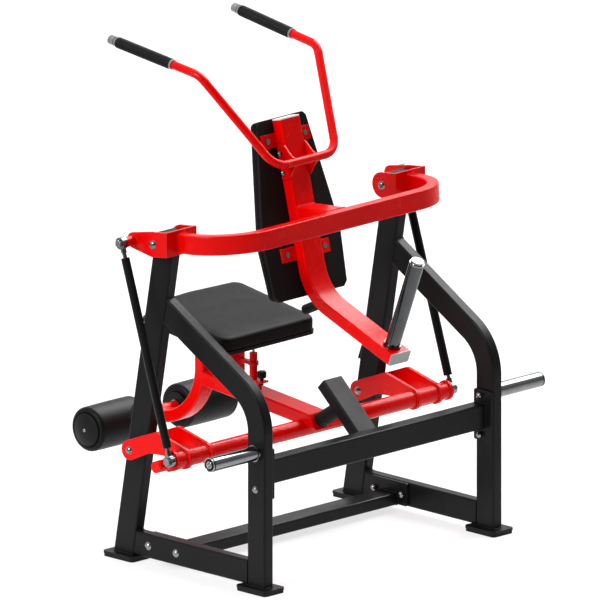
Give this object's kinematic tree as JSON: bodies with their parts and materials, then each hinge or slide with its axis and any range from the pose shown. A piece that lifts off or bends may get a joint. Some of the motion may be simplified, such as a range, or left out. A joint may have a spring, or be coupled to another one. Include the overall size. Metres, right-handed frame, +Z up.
{
  "type": "plate-loaded abdominal crunch machine",
  "caption": "Seated plate-loaded abdominal crunch station with a pivoting back-pad yoke and handles, linked by tie rods to a seat carriage with foot rollers.",
  "frame": {"origin": "on the floor, under the middle of the machine's bounding box", "axes": "+Z up, the seated user faces -Y, +X is the user's left"},
  "size_m": [1.504, 1.2866, 1.6324],
  "materials": {
    "frame_black": "satin powder coat",
    "red_paint": "gloss powder coat",
    "chrome": "polished",
    "zinc_steel": "zinc plated",
    "rubber": "matte",
    "plastic_black": "moulded",
    "plastic_grey": "moulded",
    "upholstery": "grained vinyl over foam",
    "board": "covered board"
  },
  "bodies": {
    "frame": {"front_posts": "frame_black", "rear_legs": "frame_black", "floor_rails": "frame_black", "foot_plates": "frame_black", "rubber_feet": "rubber", "rear_crossbeam": "frame_black", "floor_crossbeam": "frame_black", "frame_bolts": "zinc_steel", "stop_post": "frame_black", "stop_bumper": "rubber", "storage_horns": "chrome", "storage_horn_caps": "plastic_black", "yoke_bearings": "frame_black", "lever_bearings": "frame_black"},
    "yoke": {"yoke_tube": "red_paint", "yoke_bracket_left": "red_paint", "yoke_bracket_right": "red_paint", "yoke_pivot_pins": "chrome", "yoke_bridge": "red_paint", "centre_post": "red_paint", "tube_end_caps": "plastic_grey", "back_pad_brackets": "red_paint", "back_pad_board": "board", "back_pad": "upholstery", "back_pad_screws": "zinc_steel", "handle_bar": "red_paint", "handle_plates": "red_paint", "handle_bolts": "zinc_steel", "grips": "rubber", "grip_end_caps": "chrome", "load_horn": "chrome", "load_horn_cap": "chrome", "arm_bumper": "rubber", "upper_rod_studs": "zinc_steel"},
    "carriage": {"lever_plates": "red_paint", "lever_pivot_pins": "chrome", "cross_tube": "red_paint", "carriage_beam": "red_paint", "roller_arm": "red_paint", "roller_axle": "chrome", "lower_rod_studs": "zinc_steel", "band_pegs": "red_paint", "band_peg_caps": "red_paint", "seat_sleeve": "red_paint", "seat_strut_cylinder": "red_paint"},
    "lock_knob": {"seat_lock_knob": "plastic_black"},
    "seat": {"seat_post": "red_paint", "seat_board": "board", "seat_pad": "upholstery", "seat_strut_rod": "chrome"},
    "roller_left": {"roller_hub_left": "plastic_black", "roller_pad_left": "upholstery"},
    "roller_right": {"roller_hub_right": "plastic_black", "roller_pad_right": "upholstery"},
    "link_left": {"tie_rod_left": "frame_black", "rod_end_upper_left": "chrome"},
    "link_right": {"tie_rod_right": "frame_black", "rod_end_upper_right": "chrome"},
    "link_foot_left": {"rod_end_lower_left": "chrome"},
    "link_foot_right": {"rod_end_lower_right": "chrome"}
  },
  "joints": [
    {"name": "yoke_swing", "type": "hinge", "parent": "frame", "child": "yoke", "pos_m": [0, 0.00622, 1.086], "axis": [1, 0, 0], "range_deg": [0, 35]},
    {"name": "carriage_swing", "type": "hinge", "parent": "frame", "child": "carriage", "pos_m": [0, -0.11412, 0.3765], "axis": [1, 0, 0], "range_deg": [-12.5, 0]},
    {"name": "seat_slide", "type": "slide", "parent": "carriage", "child": "seat", "axis": [0, 0, 1], "range_m": [0, 0.06]},
    {"name": "lock_knob_turn", "type": "hinge", "parent": "carriage", "child": "lock_knob", "pos_m": [0, -0.08528, 0.52], "axis": [0, 0, 1], "continuous": true},
    {"name": "roller_left_spin", "type": "hinge", "parent": "carriage", "child": "roller_left", "pos_m": [0.205, -0.56928, 0.3075], "axis": [1, 0, 0], "continuous": true},
    {"name": "roller_right_spin", "type": "hinge", "parent": "carriage", "child": "roller_right", "pos_m": [-0.205, -0.56928, 0.3075], "axis": [1, 0, 0], "continuous": true},
    {"name": "link_left_swing", "type": "hinge", "parent": "yoke", "child": "link_left", "pos_m": [0.638, -0.08328, 1.084], "axis": [1, 0, 0], "range_deg": [-37, 0]},
    {"name": "link_right_swing", "type": "hinge", "parent": "yoke", "child": "link_right", "pos_m": [-0.638, -0.08328, 1.084], "axis": [1, 0, 0], "range_deg": [-37, 0]},
    {"name": "link_foot_left_swing", "type": "hinge", "parent": "carriage", "child": "link_foot_left", "pos_m": [0.638, 0.13672, 0.399], "axis": [1, 0, 0], "range_deg": [0, 11.5]},
    {"name": "link_foot_right_swing", "type": "hinge", "parent": "carriage", "child": "link_foot_right", "pos_m": [-0.638, 0.13672, 0.399], "axis": [1, 0, 0], "range_deg": [0, 11.5]}
  ],
  "couplings": [
    {"joint": "carriage_swing", "follows": "yoke_swing", "ratio": -0.3557},
    {"joint": "link_left_swing", "follows": "yoke_swing", "ratio": -1.0338},
    {"joint": "link_foot_left_swing", "follows": "yoke_swing", "ratio": 0.3221},
    {"joint": "link_right_swing", "follows": "yoke_swing", "ratio": -1.0338},
    {"joint": "link_foot_right_swing", "follows": "yoke_swing", "ratio": 0.3221}
  ]
}
